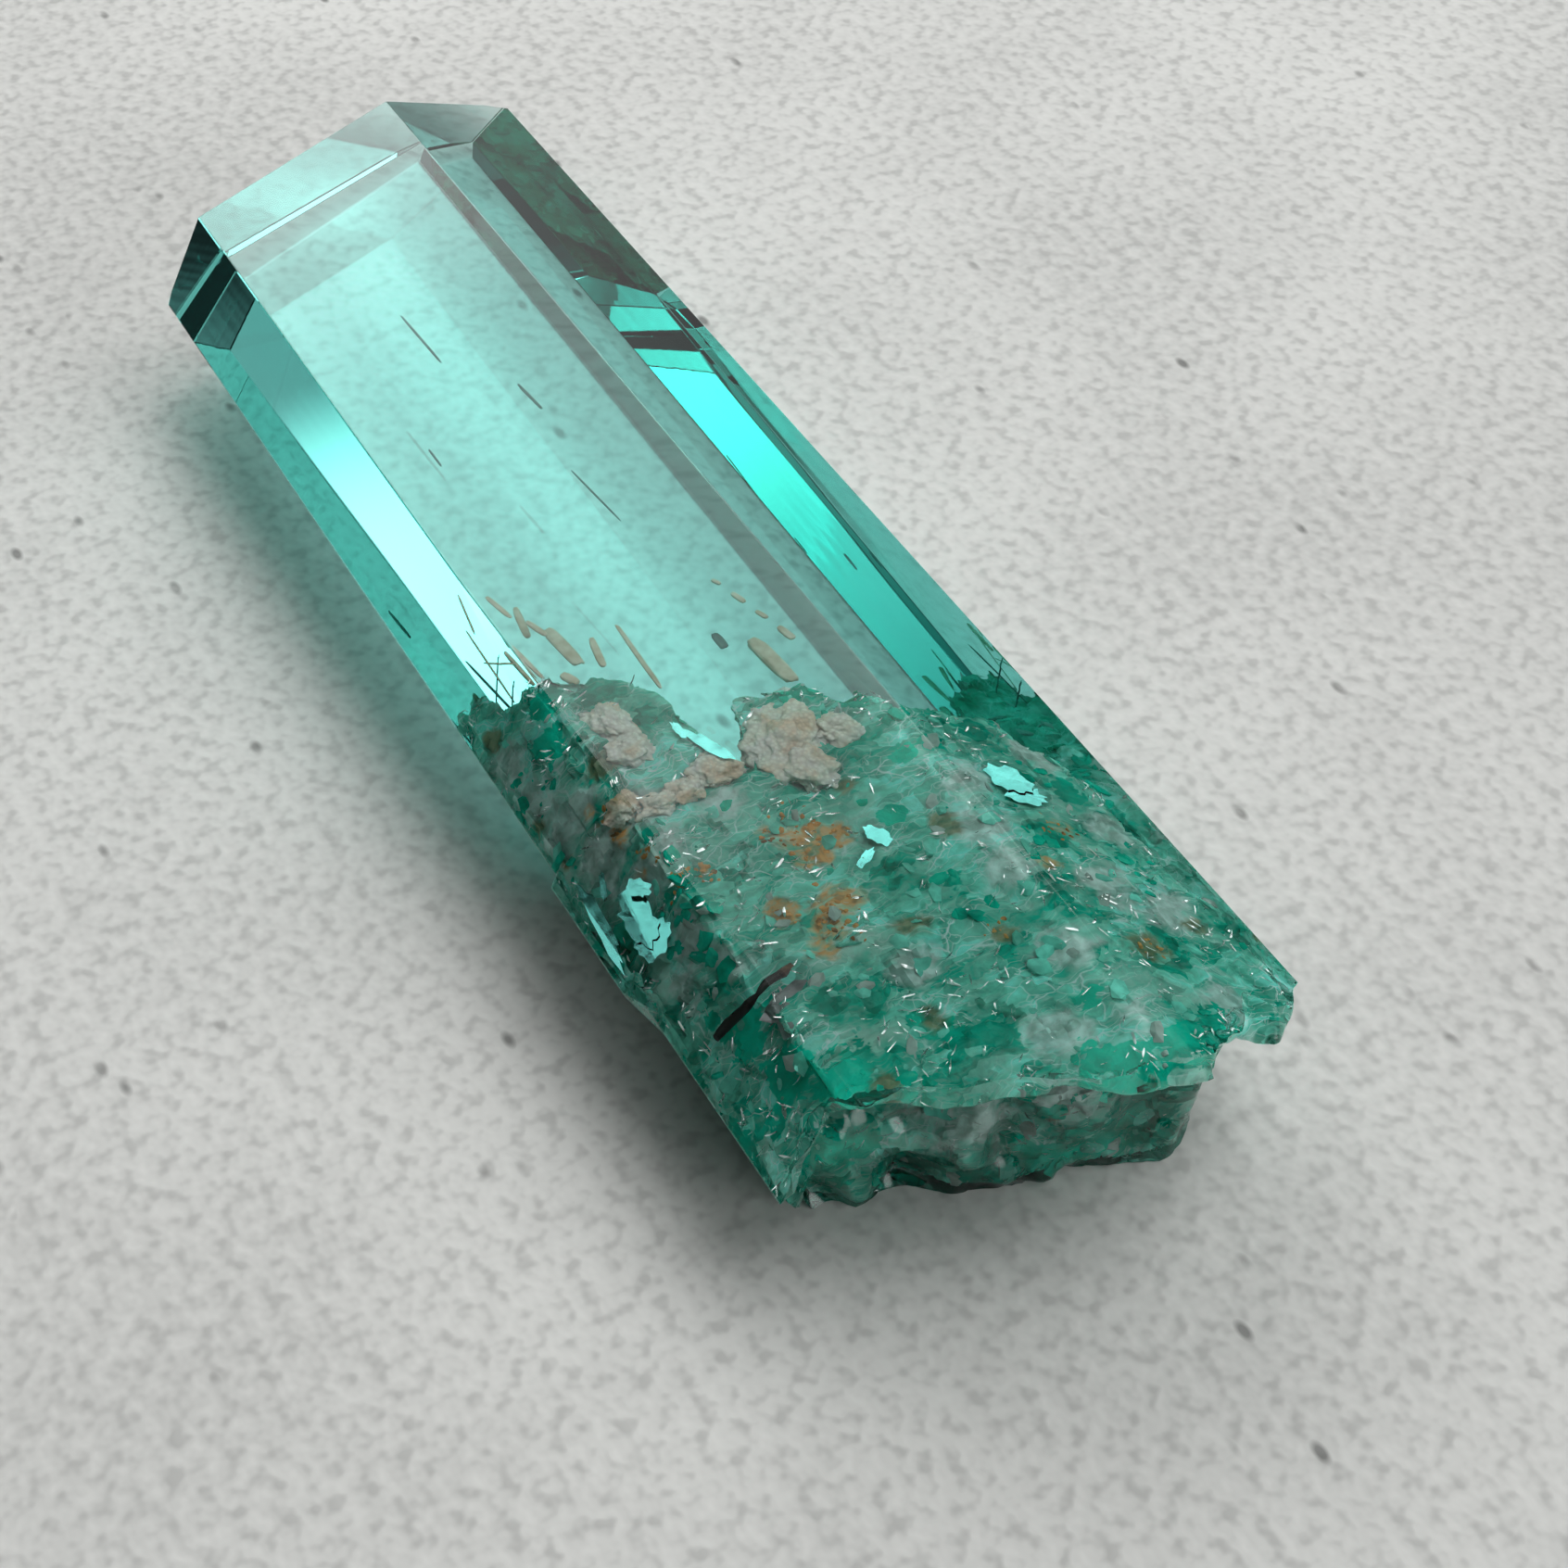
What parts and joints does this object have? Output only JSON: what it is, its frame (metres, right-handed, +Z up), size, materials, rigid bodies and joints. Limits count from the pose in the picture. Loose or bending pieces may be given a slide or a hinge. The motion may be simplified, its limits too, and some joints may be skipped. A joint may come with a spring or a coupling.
{
  "type": "emerald crystal",
  "caption": "Long six-sided emerald prism lying on a flat lower face, clear with an oblique tip at one end and a broken, included root at the other.",
  "frame": {"origin": "middle of the bounding box, on the surface the crystal rests on", "axes": "+X along the crystal from the broken root to the clear tip, +Y toward the side with the narrow rib, +Z up"},
  "size_m": [0.045, 0.0136, 0.0058],
  "materials": {
    "emerald": "clear blue-green beryl with glassy faces, milky and grainy toward the root"
  },
  "bodies": {
    "root": {"emerald_crystal": "emerald"}
  },
  "joints": []
}
